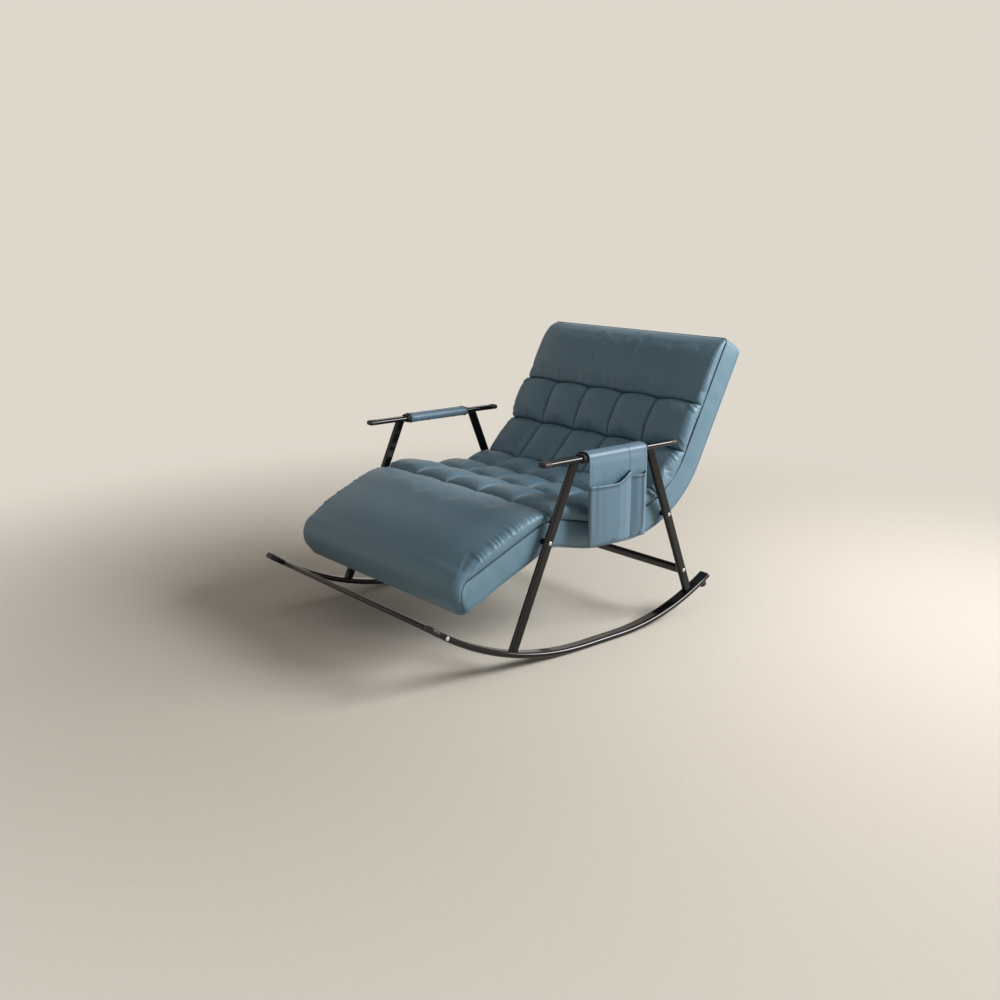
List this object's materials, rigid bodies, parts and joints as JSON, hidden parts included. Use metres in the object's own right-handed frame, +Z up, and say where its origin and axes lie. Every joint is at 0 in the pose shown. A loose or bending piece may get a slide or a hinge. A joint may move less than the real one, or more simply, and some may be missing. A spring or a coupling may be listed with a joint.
{
  "type": "upholstered rocking chair",
  "caption": "Low lounge rocking chair: a long tufted leather cushion with raised leg panel, slung between black tube side frames on curved rockers, with a side pocket.",
  "frame": {"origin": "on the floor, midway between the two rockers, within the short level length on which they rest", "axes": "+Z is up; the sitter faces -Y, so the back of the chair is towards +Y; +X is at the sitter's left hand, the side that carries the pocket"},
  "size_m": [0.8268, 1.1325, 0.773],
  "materials": {
    "frame_steel": "gloss",
    "inner_steel": "satin",
    "bolt_steel": "satin",
    "black_plastic": "matte",
    "black_rubber": "matte",
    "black_foam": "matte",
    "sleeve_leather": "satin",
    "cover_leather": "satin",
    "padded_cover": "satin",
    "seat_foam": "matte",
    "webbing": "matte"
  },
  "bodies": {
    "chair": {"armrest_end_caps": "black_plastic", "armrest_foam_left": "black_foam", "armrest_foam_right": "black_foam", "armrest_left": "frame_steel", "armrest_right": "frame_steel", "armrest_sleeve_left": "sleeve_leather", "armrest_sleeve_right": "sleeve_leather", "back_cross_tube": "inner_steel", "back_lower_pad": "padded_cover", "back_upper_pad": "padded_cover", "boxing_left": "cover_leather", "boxing_right": "cover_leather", "foam_core": "seat_foam", "front_crossbar": "frame_steel", "front_crossbar_bolts": "bolt_steel", "front_crossbar_washers": "black_plastic", "front_leg_left": "frame_steel", "front_leg_right": "frame_steel", "head_cross_tube": "inner_steel", "head_pad": "padded_cover", "knee_cross_tube": "inner_steel", "leg_cross_tube": "inner_steel", "leg_pad": "padded_cover", "lumbar_pad": "padded_cover", "rear_crossbar": "frame_steel", "rear_crossbar_bolts": "bolt_steel", "rear_crossbar_inserts": "inner_steel", "rear_leg_left": "frame_steel", "rear_leg_right": "frame_steel", "rocker_front_caps": "black_plastic", "rocker_left": "frame_steel", "rocker_rear_plugs": "black_plastic", "rocker_right": "frame_steel", "rocker_stop_feet": "black_rubber", "seat_bolts": "bolt_steel", "seat_brackets_left": "inner_steel", "seat_brackets_right": "inner_steel", "seat_cross_tube": "inner_steel", "seat_front_pad": "padded_cover", "seat_rail_left": "inner_steel", "seat_rail_right": "inner_steel", "seat_rear_pad": "padded_cover", "support_straps": "webbing", "under_cover": "cover_leather"},
    "side_pocket": {"pocket_back_panel": "sleeve_leather", "pocket_main": "sleeve_leather", "pocket_slim": "sleeve_leather"}
  },
  "joints": [
    {"name": "side_pocket_swing", "type": "hinge", "parent": "chair", "child": "side_pocket", "pos_m": [0.4015, 0, 0.503], "axis": [0, -1, 0], "range_deg": [-8, 75]}
  ]
}
